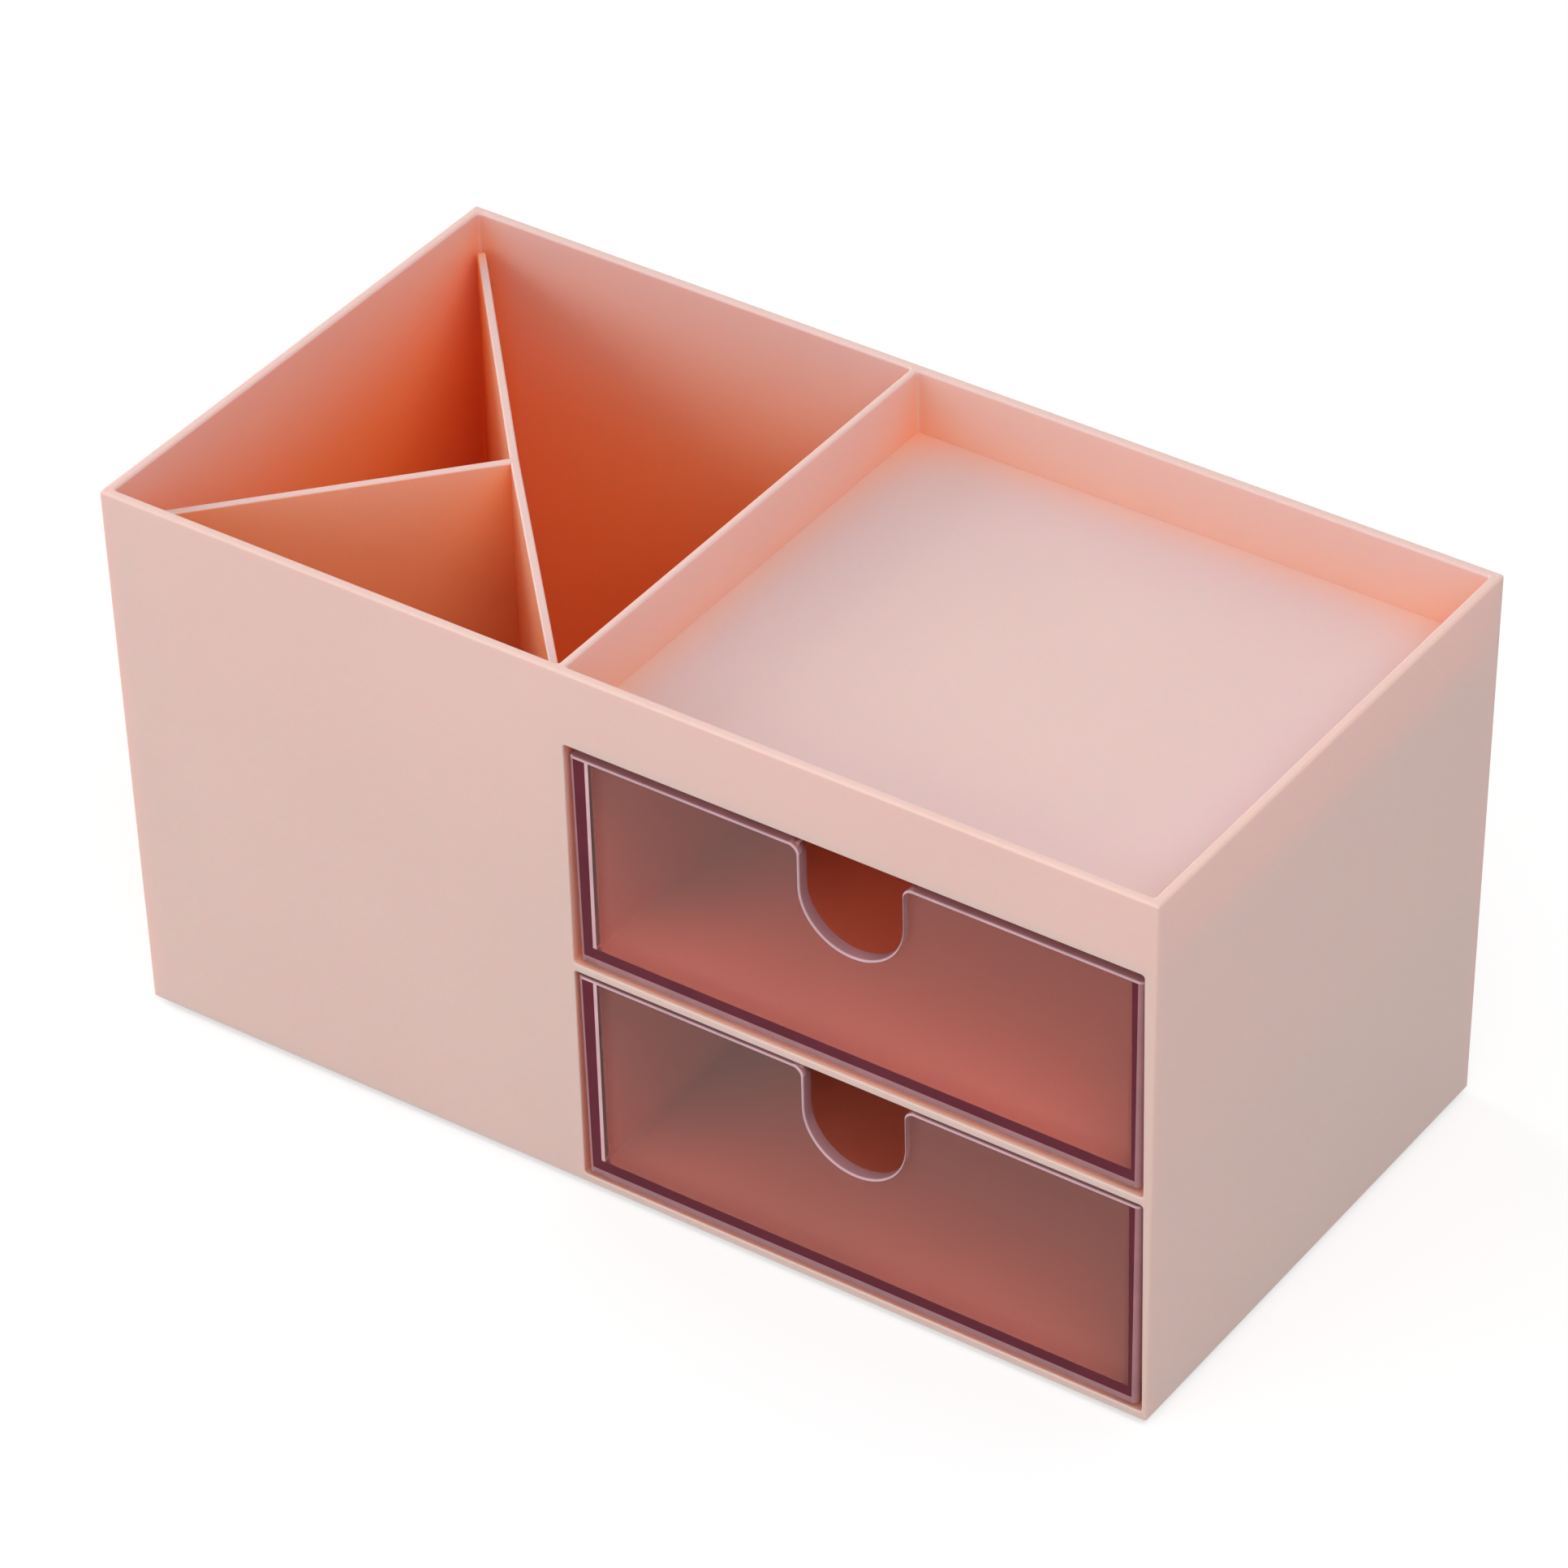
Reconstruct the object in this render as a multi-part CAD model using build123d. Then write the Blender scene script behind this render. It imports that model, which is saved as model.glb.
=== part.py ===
"""Desktop drawer organizer: pen well with a drop-in divider, top tray and two see-through drawers.

Millimetres, +X to the right, +Y to the back, +Z up, origin on the table under the middle of the part.
"""
import os
from math import atan2, degrees

from build123d import *

# Housing: one moulding, wider at the rim than at the foot
housing_width = 205.0
housing_depth = 104.6
housing_height = 105.4
side_draft = 1.6
front_draft = 1.2
wall = 1.8
floor_thickness = 1.7
outer_corner = 0.5
inner_corner = 0.6
rim_round = 0.5
foot_round = 0.4

# Partition between the pen well on the left and the drawer bays on the right
bay_width = 109.5
bay_back_wall = 1.7
mouth_round = 0.3
mouth_land = 0.1
partition_thickness = 1.4
partition_draft = 0.6

# Tray over the bays, and the shelf between them
tray_depth = 12.1
tray_floor = 2.4
tray_draft = 0.2
shelf_thickness = 1.6
upper_bay_extra = 1.4

# Drawers
drawer_wall = 2.6
drawer_floor = 1.7
drawer_draft = 0.45
drawer_corner = 1.2
drawer_floor_round = 1.0
drawer_lip_chamfer = 0.3
drawer_foot_chamfer = 0.8
drawer_setback = 0.8
drawer_side_gap = 0.4
drawer_back_gap = 0.4
drawer_run_gap = 0.25
drawer_top_gap = 0.8
notch_width = 19.5
notch_depth = 17.9
notch_lip = 2.0

# Drop-in pen divider
divider_thickness = 1.5
divider_below_rim = 6.0
divider_gap = 0.4
divider_end_round = 2.5
divider_edge_round = 0.35
junction_from_left = 44.7
junction_from_front = 49.7

# Foot pads
pad_diameter = 12.0
pad_thickness = 1.5
pad_seat_depth = 0.5
pad_fit = 0.3
pad_inset = 14.0

# Heights and planes that follow from the sizes above, measured from the housing's foot
stance = pad_thickness - pad_seat_depth
tray_level = housing_height - tray_depth
bay_ceiling = tray_level - tray_floor
lower_bay_height = (bay_ceiling - floor_thickness - shelf_thickness - upper_bay_extra) / 2
shelf_underside = floor_thickness + lower_bay_height
shelf_top = shelf_underside + shelf_thickness
bay_right = housing_width / 2 - side_draft - outer_corner - mouth_land - mouth_round
bay_left = bay_right - bay_width
bay_back = housing_depth / 2 - front_draft - bay_back_wall
drawer_height = lower_bay_height - drawer_run_gap - drawer_top_gap


def tapered_block(low_walls, high_walls, bottom, top, radius):
    """Block whose four walls (left, right, front, back) lean from one set of places to another."""
    left, right, front, back = high_walls
    middle = Pos((left + right) / 2, (front + back) / 2, top)
    hung_from_top = (Align.CENTER, Align.CENTER, Align.MAX)
    block = middle * Box(right - left, back - front, top - bottom, align=hung_from_top)
    leans = [abs(low - high) for low, high in zip(low_walls, high_walls)]
    for (axis, end), lean in zip(((Axis.X, 0), (Axis.X, -1), (Axis.Y, 0), (Axis.Y, -1)), leans):
        face = block.faces().sort_by(axis)[end]
        block = draft(face, Plane.XY.offset(top), -degrees(atan2(lean, top - bottom)))
    upright = block.edges().filter_by(lambda edge: abs(edge.tangent_at(0).Z) > 0.5)
    return fillet(upright, radius)


def outer_walls(height):
    """Outside of the housing at a height: left, right, front, back."""
    still_to_rise = 1 - height / housing_height
    half_width = housing_width / 2 - side_draft * still_to_rise
    half_depth = housing_depth / 2 - front_draft * still_to_rise
    return -half_width, half_width, -half_depth, half_depth


def well_walls(height):
    """Inside of the pen well at a height: left, right, front, back."""
    left, _, front, back = outer_walls(height)
    lean = partition_draft * (1 - height / housing_height)
    return left + wall, bay_left - partition_thickness - lean, front + wall, back - wall


def tray_walls(height):
    """Inside of the tray at a height: left, right, front, back."""
    _, right, front, back = outer_walls(height)
    lean = tray_draft * (housing_height - height) / tray_depth
    return bay_left + lean, right - wall - lean, front + wall + lean, back - wall - lean


def bay_core(bottom, top):
    """Space of one drawer bay, running out through the front face."""
    back_end = Plane.XZ * Pos((bay_left + bay_right) / 2, (bottom + top) / 2, -bay_back)
    return extrude(back_end * RectangleRounded(bay_width, top - bottom, inner_corner), housing_depth)


def pad_places():
    """Name and centre of each foot pad, set in from the foot's own corners."""
    left, right, front, back = outer_walls(0)
    for row, y in (("front", front + pad_inset), ("rear", back - pad_inset)):
        for side, x in (("left", left + pad_inset), ("right", right - pad_inset)):
            yield f"foot_pad_{row}_{side}", x, y


def make_housing():
    """Walls, floor, partition, tray and shelf in one moulding, with a seat under it for each pad."""
    top = housing_height
    body = tapered_block(outer_walls(0), outer_walls(top), 0, top, outer_corner)
    body -= tapered_block(well_walls(floor_thickness), well_walls(top), floor_thickness, top, inner_corner)
    body -= tapered_block(tray_walls(tray_level), tray_walls(top), tray_level, top, inner_corner)
    rim = body.edges().filter_by_position(Axis.Z, top, top)
    body = fillet(rim, rim_round)
    foot = body.edges().filter_by_position(Axis.Z, 0, 0)
    body = fillet(foot, foot_round)
    bays = bay_core(floor_thickness, shelf_underside) + bay_core(shelf_top, bay_ceiling)
    bored = body - bays
    _, _, foot_front, _ = outer_walls(0)
    cut_edges = new_edges(body, bays, combined=bored)
    mouths = cut_edges.filter_by_position(Axis.Y, -housing_depth / 2, foot_front)
    body = fillet(mouths, mouth_round)
    for _, x, y in pad_places():
        body -= Pos(x, y) * extrude(Circle(pad_diameter / 2 + pad_fit), pad_seat_depth)
    return body


def notch_profile():
    """Finger notch seen from the front, its lip rounded over, with z = 0 at the drawer's top edge."""
    half = notch_width / 2
    round_from = notch_depth - half
    with BuildSketch(Plane.XZ) as profile:
        with BuildLine():
            RadiusArc((-half - notch_lip, 0), (-half, -notch_lip), notch_lip)
            Line((-half, -notch_lip), (-half, -round_from))
            ThreePointArc((-half, -round_from), (0, -notch_depth), (half, -round_from))
            Line((half, -round_from), (half, -notch_lip))
            RadiusArc((half, -notch_lip), (half + notch_lip, 0), notch_lip)
            Polyline((half + notch_lip, 0), (half + notch_lip, half), (-half - notch_lip, half),
                     (-half - notch_lip, 0))
        make_face()
    return profile.sketch


def make_drawer():
    """Open box with drafted walls and a finger notch, standing on its own floor at z = 0."""
    left = bay_left + drawer_side_gap
    right = bay_right - drawer_side_gap
    front = drawer_setback - housing_depth / 2
    back = bay_back - drawer_back_gap

    def walls(height, inset):
        in_by = inset + drawer_draft * (1 - height / drawer_height)
        return left + in_by, right - in_by, front + in_by, back - in_by

    shell = tapered_block(walls(0, 0), walls(drawer_height, 0), 0, drawer_height, drawer_corner)
    inside = tapered_block(
        walls(drawer_floor, drawer_wall), walls(drawer_height, drawer_wall), drawer_floor, drawer_height,
        drawer_corner,
    )
    floor_edges = inside.faces().sort_by(Axis.Z)[0].edges()
    shell -= fillet(floor_edges, drawer_floor_round)
    through_front = extrude(notch_profile(), 2 * drawer_wall, both=True)
    shell -= Pos((left + right) / 2, front, drawer_height) * through_front
    lip = shell.edges().filter_by_position(Axis.Z, drawer_height, drawer_height)
    shell = chamfer(lip, drawer_lip_chamfer)
    foot = shell.edges().filter_by_position(Axis.Z, 0, 0)
    return chamfer(foot, drawer_foot_chamfer)


def make_divider():
    """Three upright plates from one junction into three corners of the pen well."""
    bottom = floor_thickness
    top = housing_height - divider_below_rim
    left, right, front, back = well_walls(top)
    junction = Vector(left + junction_from_left, front + junction_from_front)
    half = divider_thickness / 2
    corners = (Vector(left, back), Vector(left, front), Vector(right, front))

    def reach(way, height):
        """How far a plate can go from the junction and still clear both walls of its corner."""
        low_x, high_x, low_y, high_y = well_walls(height)
        wall_x = low_x if way.X < 0 else high_x
        wall_y = low_y if way.Y < 0 else high_y
        room_x = abs(wall_x - junction.X) - divider_gap - half * abs(way.Y)
        room_y = abs(wall_y - junction.Y) - divider_gap - half * abs(way.X)
        return min(room_x / abs(way.X), room_y / abs(way.Y))

    insert = extrude(Pos(junction.X, junction.Y, bottom) * Circle(half), top - bottom)
    for corner in corners:
        way = (corner - junction).normalized()
        plane = Plane(origin=(junction.X, junction.Y, 0), x_dir=way, z_dir=way.cross(Vector(0, 0, 1)))
        low_end = (reach(way, bottom), bottom)
        high_end = (reach(way, top), top)
        side = Polygon((0, bottom), low_end, high_end, (0, top), align=None)
        outer_top = side.vertices().sort_by(Axis.X)[-1]
        side = fillet(outer_top, divider_end_round)
        insert += extrude(plane * side, half, both=True)
    upper_edges = insert.edges().filter_by_position(Axis.Z, top, top)
    return fillet(upper_edges, divider_edge_round)


def make_pad():
    """Round pad cut from soft sheet, standing on the table."""
    return extrude(Circle(pad_diameter / 2), pad_thickness)


def all_pieces():
    """Each piece of the organizer by name, in its place."""
    lift = Pos(0, 0, stance)
    yield "housing", lift * make_housing()
    yield "pen_divider", lift * make_divider()
    drawer = make_drawer()
    yield "upper_drawer", lift * Pos(0, 0, shelf_top + drawer_run_gap) * drawer
    yield "lower_drawer", lift * Pos(0, 0, floor_thickness + drawer_run_gap) * drawer
    for name, x, y in pad_places():
        yield name, Pos(x, y) * make_pad()


os.makedirs("parts", exist_ok=True)
for node, piece in all_pieces():
    export_step(piece, f"parts/{node}.step")
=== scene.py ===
from math import cos, radians, sin

import bpy
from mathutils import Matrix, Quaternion, Vector


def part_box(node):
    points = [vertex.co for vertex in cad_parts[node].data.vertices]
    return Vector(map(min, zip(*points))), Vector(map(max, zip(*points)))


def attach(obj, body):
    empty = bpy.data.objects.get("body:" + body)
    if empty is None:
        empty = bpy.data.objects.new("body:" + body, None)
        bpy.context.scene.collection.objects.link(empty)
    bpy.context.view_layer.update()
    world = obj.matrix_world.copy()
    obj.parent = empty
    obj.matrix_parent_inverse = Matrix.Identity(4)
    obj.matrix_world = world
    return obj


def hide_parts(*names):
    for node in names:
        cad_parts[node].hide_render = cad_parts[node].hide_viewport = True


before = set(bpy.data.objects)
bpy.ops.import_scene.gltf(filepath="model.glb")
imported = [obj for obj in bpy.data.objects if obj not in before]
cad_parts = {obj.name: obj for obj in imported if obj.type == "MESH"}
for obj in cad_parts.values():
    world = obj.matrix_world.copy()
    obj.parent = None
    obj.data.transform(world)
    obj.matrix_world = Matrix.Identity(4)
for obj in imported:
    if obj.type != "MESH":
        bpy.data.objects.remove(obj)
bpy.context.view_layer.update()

bpy.ops.object.select_all(action="DESELECT")

# Foot pads: four round pads of pale foam, cut from sheet with a die. Each is stuck in a shallow seat
# under the housing, and together they carry the organizer on the table.
pad_skin_colour = (0.66, 0.64, 0.62, 1)
pad_pit_colour = (0.50, 0.48, 0.46, 1)
pad_roughness = 0.9
pad_cell = 0.0004
pad_cell_depth = 0.00006


def start_material(name):
    """New material with its nodes, its links and its main shader."""
    material = bpy.data.materials.new(name)
    material.use_nodes = True
    shader = material.node_tree.nodes["Principled BSDF"]
    return material, material.node_tree.nodes, material.node_tree.links, shader


def colour_steps(nodes, links, value, steps):
    """Colour that goes from step to step as a value rises."""
    ramp = nodes.new("ShaderNodeValToRGB")
    stops = ramp.color_ramp.elements
    while len(stops) < len(steps):
        stops.new(0.5)
    for stop, (position, colour) in zip(stops, steps):
        stop.position = position
        stop.color = colour
    links.new(value, ramp.inputs["Fac"])
    return ramp.outputs["Color"]


def finish_cad_node(name, material):
    """Give all of a CAD node one material."""
    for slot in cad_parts[name].material_slots:
        slot.material = material


foam, nodes, links, shader = start_material("pad_foam")
place = nodes.new("ShaderNodeTexCoord")
cells = nodes.new("ShaderNodeTexVoronoi")
cells.inputs["Scale"].default_value = 1 / pad_cell
links.new(place.outputs["Object"], cells.inputs["Vector"])
foam_steps = ((0, pad_pit_colour), (1, pad_skin_colour))
foam_tone = colour_steps(nodes, links, cells.outputs["Distance"], foam_steps)
links.new(foam_tone, shader.inputs["Base Color"])
pits = nodes.new("ShaderNodeBump")
pits.inputs["Distance"].default_value = pad_cell_depth
links.new(cells.outputs["Distance"], pits.inputs["Height"])
links.new(pits.outputs["Normal"], shader.inputs["Normal"])
shader.inputs["Roughness"].default_value = pad_roughness
for row in ("front", "rear"):
    for side in ("left", "right"):
        finish_cad_node(f"foot_pad_{row}_{side}", foam)

# Housing: one injection moulding in pale pink plastic, with walls, floor, partition, tray and shelf. The
# spark-eroded mould leaves a fine satin grain. In the wells and bays the pink is painted a deep red:
# painted shade, standing in for light that has passed through the thin plastic many times.
pink = (0.82, 0.575, 0.52, 1)
# Colour by openness: the pink where a place is open, and below that painted shade, a deeper red the more
# the place is enclosed.
pink_and_painted_shade_by_openness = (
    (0.08, (1.0, 0.285, 0.068, 1)),
    (0.2, (1.0, 0.33, 0.118, 1)),
    (0.35, (0.98, 0.405, 0.225, 1)),
    (0.5, (0.85, 0.485, 0.37, 1)),
    (0.75, (0.75, 0.54, 0.52, 1)),
    (0.93, (0.72, 0.555, 0.595, 1)),
    (1.0, pink),
)
openness_samples = 6
enclosure_reach = 0.12
rim_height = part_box("housing")[1].z
deep_from_rim = 0.036
# The inside of the left wall gets a bigger share of painted shade, so it is painted redder.
left_wall_inside = -0.098
left_wall_fade = 0.005
left_wall_painted_shade_share = 1.3
# Inside the drawer bays the painted shade is held no deeper than these openness values, from the mouth
# inwards.
bay_left = -0.0095
bay_ceiling = 0.0925
bay_front = -0.0523
mouth_depth = 0.05
mouth_openness = 0.45
bay_openness = 0.16
# Painted shade: the enclosed parts of the lower bay are darkened to this share.
shelf_level = 0.0466
lower_bay_shade = 0.7
grain_size = 0.0005
grain_detail = 3
grain_depth = 0.00002
grain_strength = 0.5
flow_size = 0.05
flow_detail = 2
flow_shade = (0.96, 1.04)
satin_roughness = (0.36, 0.48)
glow_weight = 0.5
glow_radius = (1.0, 0.22, 0.1)
glow_scale = 0.005

skin = bpy.data.node_groups.new("moulded_skin", "ShaderNodeTree")
for socket in ("Grain Size", "Flow Size"):
    skin.interface.new_socket(socket, in_out="INPUT", socket_type="NodeSocketFloat")
for socket in ("Grain", "Flow"):
    skin.interface.new_socket(socket, in_out="OUTPUT", socket_type="NodeSocketFloat")


def worked_out(nodes, links, operation, first, second, clamp=False):
    """Result of one step of arithmetic on two inputs, each a socket or a plain number."""
    step = nodes.new("ShaderNodeMath")
    step.operation = operation
    step.use_clamp = clamp
    for socket, value in zip(step.inputs, (first, second)):
        if isinstance(value, bpy.types.NodeSocket):
            links.new(value, socket)
        else:
            socket.default_value = value
    return step.outputs["Value"]


def ranged(nodes, links, value, to_range, from_range=(0, 1)):
    """Value carried over from one range to another, and held at the ends."""
    step = nodes.new("ShaderNodeMapRange")
    step.inputs["From Min"].default_value, step.inputs["From Max"].default_value = from_range
    step.inputs["To Min"].default_value, step.inputs["To Max"].default_value = to_range
    links.new(value, step.inputs["Value"])
    return step.outputs["Result"]


given = skin.nodes.new("NodeGroupInput")
made = skin.nodes.new("NodeGroupOutput")
place = skin.nodes.new("ShaderNodeTexCoord")
for socket, detail in (("Grain", grain_detail), ("Flow", flow_detail)):
    noise = skin.nodes.new("ShaderNodeTexNoise")
    noise.inputs["Detail"].default_value = detail
    per_metre = worked_out(skin.nodes, skin.links, "DIVIDE", 1, given.outputs[f"{socket} Size"])
    skin.links.new(per_metre, noise.inputs["Scale"])
    skin.links.new(place.outputs["Object"], noise.inputs["Vector"])
    skin.links.new(noise.outputs["Fac"], made.inputs[socket])


def lay_skin(nodes, flow):
    """Place the moulded skin in a material, with its flow marks at their size."""
    surface = nodes.new("ShaderNodeGroup")
    surface.node_tree = skin
    surface.inputs["Grain Size"].default_value = grain_size
    surface.inputs["Flow Size"].default_value = flow
    return surface.outputs["Grain"], surface.outputs["Flow"]


def pink_plastic(name, enclosed_by_itself, rim_painted_shade_share, deep_painted_shade_share):
    """Pink plastic with painted shade: deeper red where it is enclosed, by a share that changes from rim
    to depth.
    """
    material, nodes, links, shader = start_material(name)
    grain, flow = lay_skin(nodes, flow_size)
    place = nodes.new("ShaderNodeTexCoord")
    axes = nodes.new("ShaderNodeSeparateXYZ")
    links.new(place.outputs["Object"], axes.inputs["Vector"])
    x, y, z = axes.outputs

    # Painted shade: the colour follows how open each place is, deeper red where enclosed, by a share that
    # changes from the rim down.
    openness = nodes.new("ShaderNodeAmbientOcclusion")
    openness.samples = openness_samples
    openness.only_local = enclosed_by_itself
    openness.inputs["Distance"].default_value = enclosure_reach
    by_height = ranged(nodes, links, z, (rim_painted_shade_share, deep_painted_shade_share), (rim_height, rim_height - deep_from_rim))
    # Painted shade: a bigger share on the inside of the left wall turns it redder.
    left_wall = (left_wall_inside, left_wall_inside + left_wall_fade)
    by_side = ranged(nodes, links, x, (left_wall_painted_shade_share, 1), left_wall)
    felt = nodes.new("ShaderNodeMix")
    felt.clamp_factor = False
    felt.inputs["A"].default_value = 1
    links.new(worked_out(nodes, links, "MULTIPLY", by_height, by_side), felt.inputs["Factor"])
    links.new(openness.outputs["AO"], felt.inputs["B"])

    # Painted shade in the drawer bays, held no deeper than a given openness from the mouth inwards.
    right_of_partition = worked_out(nodes, links, "GREATER_THAN", x, bay_left)
    under_tray = worked_out(nodes, links, "LESS_THAN", z, bay_ceiling)
    in_bay = worked_out(nodes, links, "MULTIPLY", right_of_partition, under_tray)
    mouth = (bay_front, bay_front + mouth_depth)
    by_mouth = ranged(nodes, links, y, (mouth_openness, bay_openness), mouth)
    least = worked_out(nodes, links, "MULTIPLY", in_bay, by_mouth)
    shown = worked_out(nodes, links, "MAXIMUM", felt.outputs["Result"], least)
    tone = colour_steps(nodes, links, shown, pink_and_painted_shade_by_openness)

    # Painted shade: darken the enclosed parts of the lower bay.
    under_shelf = worked_out(nodes, links, "LESS_THAN", z, shelf_level)
    in_lower_bay = worked_out(nodes, links, "MULTIPLY", in_bay, under_shelf)
    enclosed = worked_out(nodes, links, "SUBTRACT", 1, felt.outputs["Result"], clamp=True)
    deep_in = worked_out(nodes, links, "MULTIPLY", in_lower_bay, enclosed)
    dim = ranged(nodes, links, deep_in, (1, lower_bay_shade))
    marks = ranged(nodes, links, flow, flow_shade)
    colour = nodes.new("ShaderNodeVectorMath")
    colour.operation = "SCALE"
    links.new(tone, colour.inputs["Vector"])
    links.new(worked_out(nodes, links, "MULTIPLY", marks, dim), colour.inputs["Scale"])
    links.new(colour.outputs["Vector"], shader.inputs["Base Color"])

    links.new(ranged(nodes, links, flow, satin_roughness), shader.inputs["Roughness"])
    bump = nodes.new("ShaderNodeBump")
    bump.inputs["Strength"].default_value = grain_strength
    bump.inputs["Distance"].default_value = grain_depth
    links.new(grain, bump.inputs["Height"])
    links.new(bump.outputs["Normal"], shader.inputs["Normal"])
    shader.inputs["Subsurface Weight"].default_value = glow_weight
    shader.inputs["Subsurface Radius"].default_value = glow_radius
    shader.inputs["Subsurface Scale"].default_value = glow_scale
    return material


housing_plastic = pink_plastic("housing_plastic", enclosed_by_itself=True, rim_painted_shade_share=0.7, deep_painted_shade_share=1)
finish_cad_node("housing", housing_plastic)

# Pen divider: a loose Y-shaped insert of the same pink plastic, dropped into the pen well from above.
# Its three plates stand on the floor of the well and reach towards three of its corners.
# Its colour gets the same painted shade, a deeper red where the well encloses it.
divider_plastic = pink_plastic("divider_plastic", enclosed_by_itself=False, rim_painted_shade_share=1, deep_painted_shade_share=0.86)
finish_cad_node("pen_divider", divider_plastic)

# Drawers: two equal open boxes moulded in see-through plastic with a smoky rose tint and a slight haze.
# They run on the floor of their bays, and a finger in the notch pulls them out. Their edges and front
# face
# get opaque painted colours: painted shade where the ends of the walls look dark from the front, painted
# highlights on the chamfered lip, the rim of the notch and the left inner corner, and a painted mid-tone
# of reflection and shade on the foot, outer corners, wall top and notch cut.
drawer_haze_colour = (0.97, 0.76, 0.70, 1)
drawer_clear_share = 0.95
drawer_ior = 1.22
drawer_roughness = (0.16, 0.21)
drawer_flow_size = 0.03
drawer_tint = (0.90, 0.60, 0.64, 1)
drawer_tint_per_metre = 100
drawer_light_share = (0.98, 0.94, 0.95, 1)
# Opaque colours painted on the drawers where the clear plastic shows light and shade at its edges:
# painted highlights on the lip and the left inner corner, a painted mid-tone of reflection and shade, and
# painted shade on the ends of the walls.
painted_lip_highlight_colour = (0.67, 0.45, 0.50)
painted_corner_highlight_colour = (0.72, 0.45, 0.48)
painted_reflection_and_shade_colour = (0.42, 0.21, 0.23)
painted_wall_end_shade_colour = (0.13, 0.02, 0.034)
edge_flow_size = 0.006
edge_shade = (0.8, 1.2)
edge_roughness = 0.3
edge_specular = 0.08
weld_distance = 0.000002
flat_within = radians(0.5)
smooth_within = radians(50)
drawer_corner = 0.0012
left_wall_end = 0.0021
corner_line_end = 0.0028
right_wall_end = 0.0009
foot_strip_top = 0.002
wall_end_top = 0.0041
front_face_depth = 0.001
front_wall_depth = 0.0045
wall_top_depth = 0.0028
wall_top_height = 0.0001
lip_height = 0.0006
notch_reach = 0.0128
notch_depth = 0.0184
outer_corner_reach = 0.04
# Limits on the parts of a face's normal, out to the front, across and up
square_to_front = -0.99
facing_up = 0.9
lip_slant_least = -0.4
lip_slant_most = -0.9
corner_slant = 0.1
notch_cut_slant = 0.3

clear, nodes, links, shader = start_material("drawer_plastic")
shader.inputs["Base Color"].default_value = drawer_haze_colour
shader.inputs["IOR"].default_value = drawer_ior
shader.inputs["Transmission Weight"].default_value = drawer_clear_share
_, flow = lay_skin(nodes, drawer_flow_size)
links.new(ranged(nodes, links, flow, drawer_roughness), shader.inputs["Roughness"])
tint = nodes.new("ShaderNodeVolumeAbsorption")
tint.inputs["Color"].default_value = drawer_tint
tint.inputs["Density"].default_value = drawer_tint_per_metre
links.new(tint.outputs["Volume"], nodes["Material Output"].inputs["Volume"])
path = nodes.new("ShaderNodeLightPath")
let_through = nodes.new("ShaderNodeBsdfTransparent")
let_through.inputs["Color"].default_value = drawer_light_share
either = nodes.new("ShaderNodeMixShader")
links.new(path.outputs["Is Shadow Ray"], either.inputs["Fac"])
links.new(shader.outputs["BSDF"], either.inputs[1])
links.new(let_through.outputs["BSDF"], either.inputs[2])
links.new(either.outputs["Shader"], nodes["Material Output"].inputs["Surface"])


def painted_edge_finish(name, tone):
    """Opaque colour painted on a band of a drawer's edge or front face, where the plastic is seen through
    its thickness: painted light and shade standing in for what the clear plastic shows there.
    """
    material, nodes, links, shader = start_material(name)
    _, flow = lay_skin(nodes, edge_flow_size)
    colour = nodes.new("ShaderNodeVectorMath")
    colour.operation = "SCALE"
    colour.inputs["Vector"].default_value = tone
    links.new(ranged(nodes, links, flow, edge_shade), colour.inputs["Scale"])
    links.new(colour.outputs["Vector"], shader.inputs["Base Color"])
    shader.inputs["Roughness"].default_value = edge_roughness
    shader.inputs["Specular IOR Level"].default_value = edge_specular
    return material


lip = painted_edge_finish("drawer_painted_lip_highlight", painted_lip_highlight_colour)
strip = painted_edge_finish("drawer_painted_reflection_and_shade", painted_reflection_and_shade_colour)
wall_end = painted_edge_finish("drawer_painted_end_shade", painted_wall_end_shade_colour)
corner_line = painted_edge_finish("drawer_corner", painted_corner_highlight_colour)
finishes = (clear, lip, strip, wall_end, corner_line)


def cut_selected(place, way):
    """Cut the selected faces of the active piece along a plane, and leave them joined."""
    bpy.ops.object.mode_set(mode="EDIT")
    bpy.ops.mesh.bisect(plane_co=place, plane_no=way)
    bpy.ops.object.mode_set(mode="OBJECT")


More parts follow.
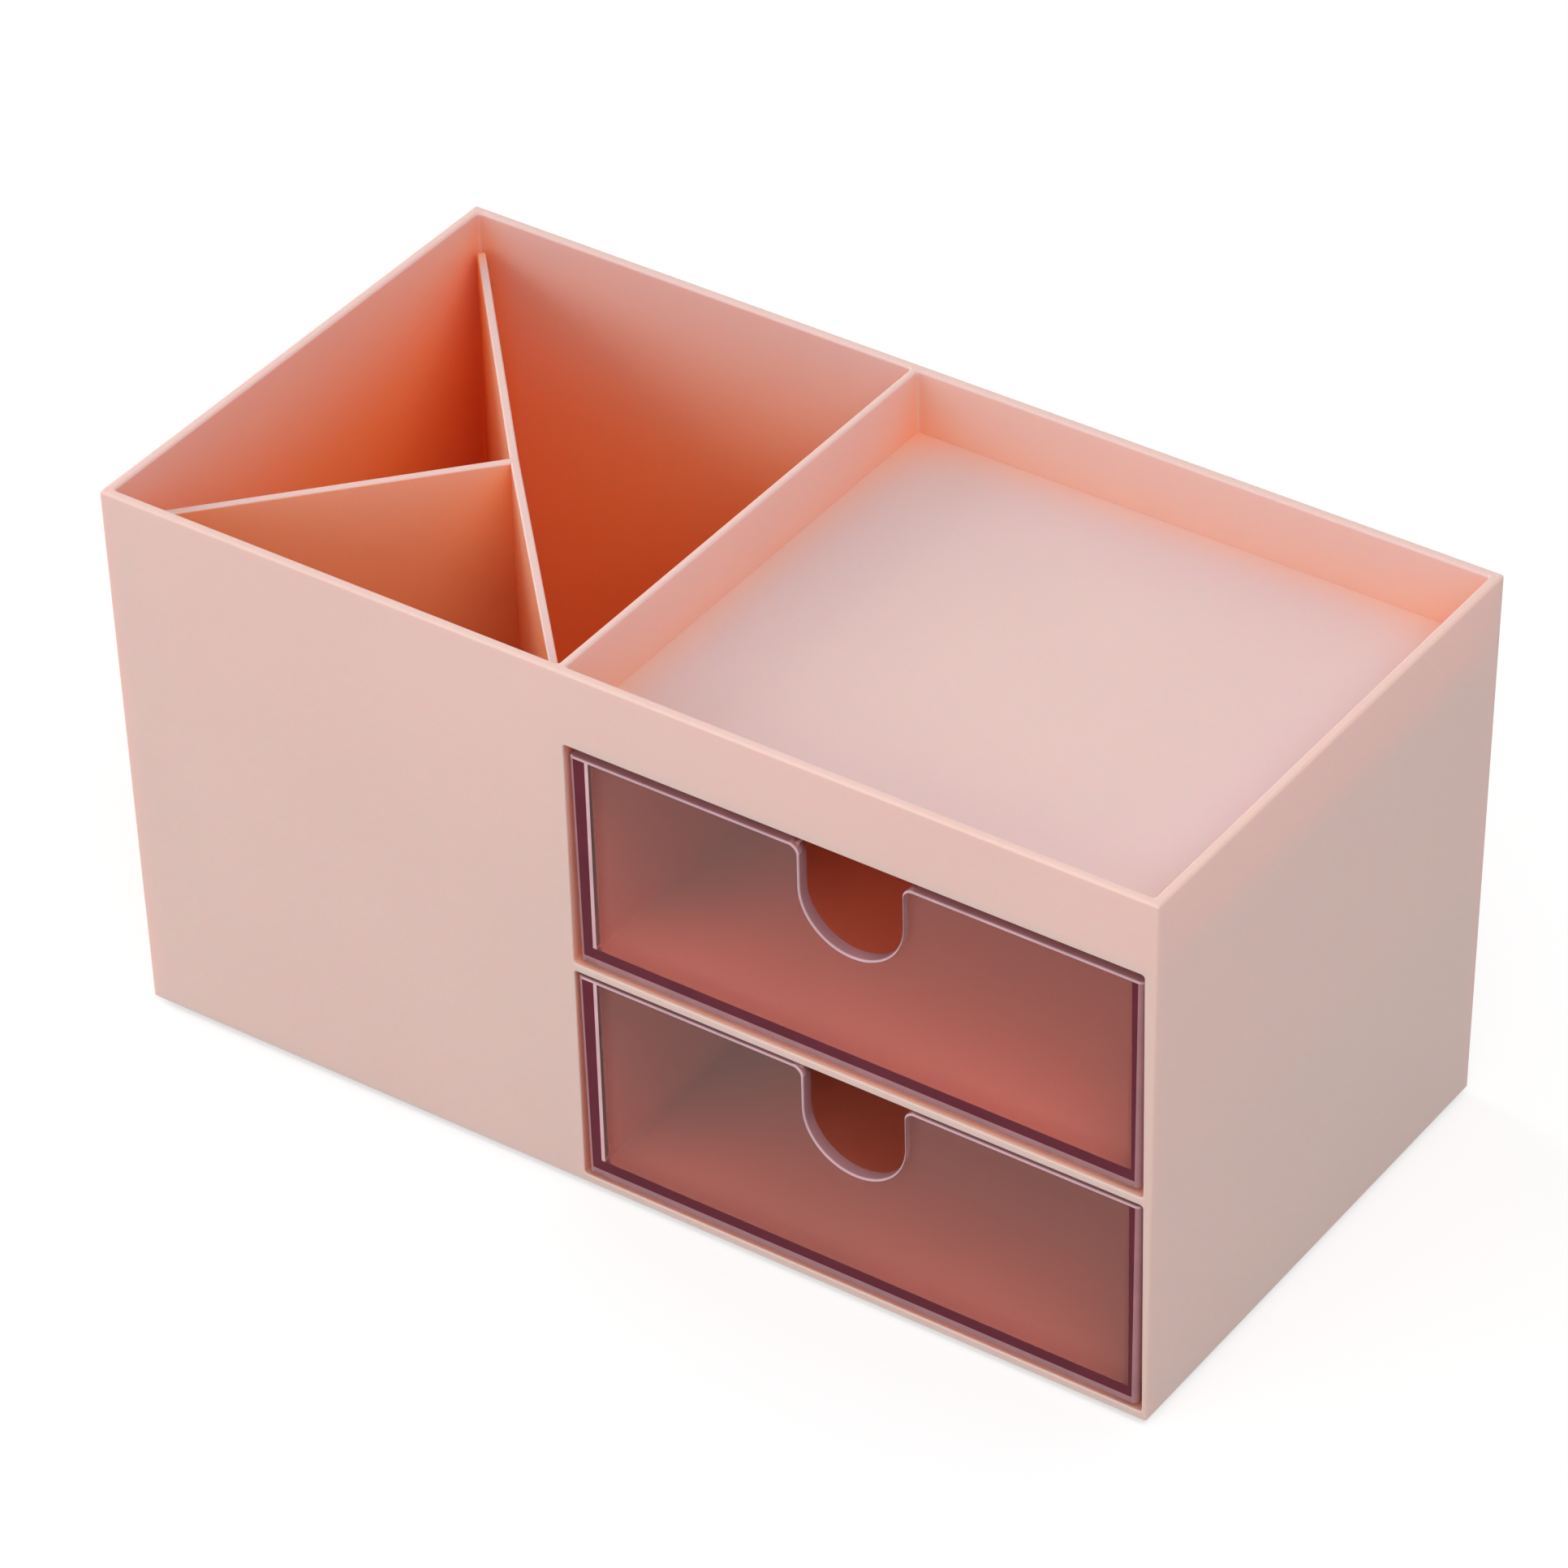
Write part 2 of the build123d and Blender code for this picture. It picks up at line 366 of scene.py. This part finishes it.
for level in ("upper", "lower"):
    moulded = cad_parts[f"{level}_drawer"]
    low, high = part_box(f"{level}_drawer")
    drawer = bpy.data.objects.new(f"{level}_drawer_clear", moulded.data.copy())
    bpy.context.scene.collection.objects.link(drawer)
    drawer.data.materials.clear()
    for finish in finishes:
        drawer.data.materials.append(finish)
    bpy.context.view_layer.objects.active = drawer
    drawer.select_set(True)
    bpy.ops.object.mode_set(mode="EDIT")
    bpy.ops.mesh.select_all(action="SELECT")
    bpy.ops.mesh.remove_doubles(threshold=weld_distance)
    bpy.ops.mesh.dissolve_limited(angle_limit=flat_within)
    bpy.ops.mesh.select_mode(type="FACE")
    bpy.ops.object.mode_set(mode="OBJECT")

    # Cut the front face, and the top of the walls, into the bands that get painted shade and highlights.
    left = low.x + drawer_corner
    right = high.x - drawer_corner
    front_cuts = (
        ((0, 0, low.z + foot_strip_top), (0, 0, 1)),
        ((0, 0, low.z + wall_end_top), (0, 0, 1)),
        ((left + left_wall_end, 0, 0), (1, 0, 0)),
        ((left + corner_line_end, 0, 0), (1, 0, 0)),
        ((right - right_wall_end, 0, 0), (1, 0, 0)),
    )
    for place, way in front_cuts:
        for face in drawer.data.polygons:
            in_front = face.normal.y < square_to_front
            face.select = in_front and face.center.y < low.y + front_face_depth
        cut_selected(place, way)
    for face in drawer.data.polygons:
        face.select = face.normal.z > facing_up and face.center.z > high.z - wall_top_height
    cut_selected((0, low.y + wall_top_depth, 0), (0, 1, 0))

    # Paint the bands of the front face and edges with painted highlights, painted reflection and painted
    # shade.
    for face in drawer.data.polygons:
        x, y, z = face.center
        across, out, up = face.normal
        if y > low.y + front_wall_depth:
            continue
        from_middle = abs(x - (low.x + high.x) / 2)
        in_front = out < square_to_front
        at_top = z > high.z - lip_height
        by_notch = from_middle < notch_reach and z > high.z - notch_depth and not at_top
        at_end = x < left + left_wall_end or x > right - right_wall_end or z < low.z + wall_end_top
        foot = in_front and z < low.z + foot_strip_top
        slanted = out < -corner_slant and abs(across) > corner_slant
        outer_corner = slanted and from_middle > outer_corner_reach
        wall_top = up > facing_up and at_top
        notch_cut = by_notch and abs(out) < notch_cut_slant
        front_lip = lip_slant_most < out < lip_slant_least and (at_top or by_notch)
        # Painted highlight: a pale line on the front face beside the left inner corner.
        if in_front and x < left + corner_line_end:
            face.material_index = finishes.index(corner_line)
        # Painted shade on the ends of the walls and the floor, seen from the front.
        if in_front and at_end:
            face.material_index = finishes.index(wall_end)
        # Painted reflection and shade: a mid-tone on the foot, the outer corners, the top of the wall and
        # the notch's cut.
        if foot or outer_corner or wall_top or notch_cut:
            face.material_index = finishes.index(strip)
        # Painted highlight on the chamfers of the lip and of the notch's rim.
        if front_lip:
            face.material_index = finishes.index(lip)
    bpy.ops.object.shade_smooth_by_angle(angle=smooth_within)
    even = drawer.modifiers.new("even_normals", "WEIGHTED_NORMAL")
    even.keep_sharp = True
    even.weight = 100
    bpy.ops.object.modifier_apply(modifier=even.name)
    drawer.select_set(False)
    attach(drawer, f"{level}_drawer")
    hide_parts(f"{level}_drawer")

# Floor: a plain matt table top, just under the pads so that the two never share a plane. It shows white
# to the camera and keeps the organizer's soft shadow.
floor_side = 6
floor_clearance = 0.0001
floor_colour = (0.5, 0.5, 0.5, 1)
floor_roughness = 0.9
floor_lift = 0.57

bpy.ops.mesh.primitive_plane_add(size=floor_side, location=(0, 0, -floor_clearance))
floor = bpy.context.object
floor.name = "floor"
floor_white, nodes, links, shader = start_material("floor_white")
shader.inputs["Base Color"].default_value = floor_colour
shader.inputs["Roughness"].default_value = floor_roughness
shader.inputs["Specular IOR Level"].default_value = 0
shader.inputs["Emission Color"].default_value = (1, 1, 1, 1)


def seen_directly(nodes, links):
    """1 for rays from the camera, straight or by way of a reflection or clear plastic."""
    path = nodes.new("ShaderNodeLightPath")
    seen = path.outputs["Is Camera Ray"]
    for ray in ("Is Glossy Ray", "Is Transmission Ray"):
        seen = worked_out(nodes, links, "MAXIMUM", seen, path.outputs[ray])
    return seen


lift = worked_out(nodes, links, "MULTIPLY", seen_directly(nodes, links), floor_lift)
links.new(lift, shader.inputs["Emission Strength"])
floor.data.materials.append(floor_white)

# Studio light: an even white surround, with broad square lamps above the organizer on the right, in
# front of it and on its left.
surround_light = 0.53
surround_seen = 1
lamps = (
    ("key_lamp", (0.5, -0.3, 0.81), 3.6),
    ("front_lamp", (-0.25, -0.92, 0.3), 2.7),
    ("left_lamp", (-0.93, 0.1, 0.35), 4.2),
)
lamp_distance = 1.0
lamp_size = 0.6
lamp_aim = Vector((0, 0, 0.05))

world = bpy.data.worlds.new("white_surround")
bpy.context.scene.world = world
world.use_nodes = True
nodes, links = world.node_tree.nodes, world.node_tree.links
strength = ranged(nodes, links, seen_directly(nodes, links), (surround_light, surround_seen))
links.new(strength, nodes["Background"].inputs["Strength"])
nodes["Background"].inputs["Color"].default_value = (1, 1, 1, 1)

for name, way, power in lamps:
    light = bpy.data.lights.new(name, "AREA")
    light.size = lamp_size
    light.energy = power
    lamp = bpy.data.objects.new(name, light)
    lamp.location = lamp_aim + Vector(way).normalized() * lamp_distance
    lamp.rotation_mode = "QUATERNION"
    lamp.rotation_quaternion = (-Vector(way)).to_track_quat("-Z", "Y")
    bpy.context.scene.collection.objects.link(lamp)

# Camera: a long lens to the right of the organizer and above it, rolled by about a degree, as in the
# photograph.
camera_azimuth = radians(35.105)
camera_elevation = radians(36.612)
camera_roll = radians(-1.2213)
camera_distance = 1.24249
camera_target = Vector((-0.00258, -0.00073, 0.05489))
camera_lens = 171.3
camera_sensor = 36
camera_far_end = 20

backward = Vector((
    sin(camera_azimuth) * cos(camera_elevation),
    -cos(camera_azimuth) * cos(camera_elevation),
    sin(camera_elevation),
))
lens = bpy.data.cameras.new("camera")
lens.sensor_width = camera_sensor
lens.lens = camera_lens
lens.clip_end = camera_far_end
camera = bpy.data.objects.new("camera", lens)
camera.location = camera_target + camera_distance * backward
camera.rotation_mode = "QUATERNION"
level_view = (-backward).to_track_quat("-Z", "Y")
camera.rotation_quaternion = level_view @ Quaternion((0, 0, 1), camera_roll)
bpy.context.scene.collection.objects.link(camera)
bpy.context.scene.camera = camera
bpy.context.scene.view_settings.view_transform = "Standard"

bpy.context.view_layer.update()
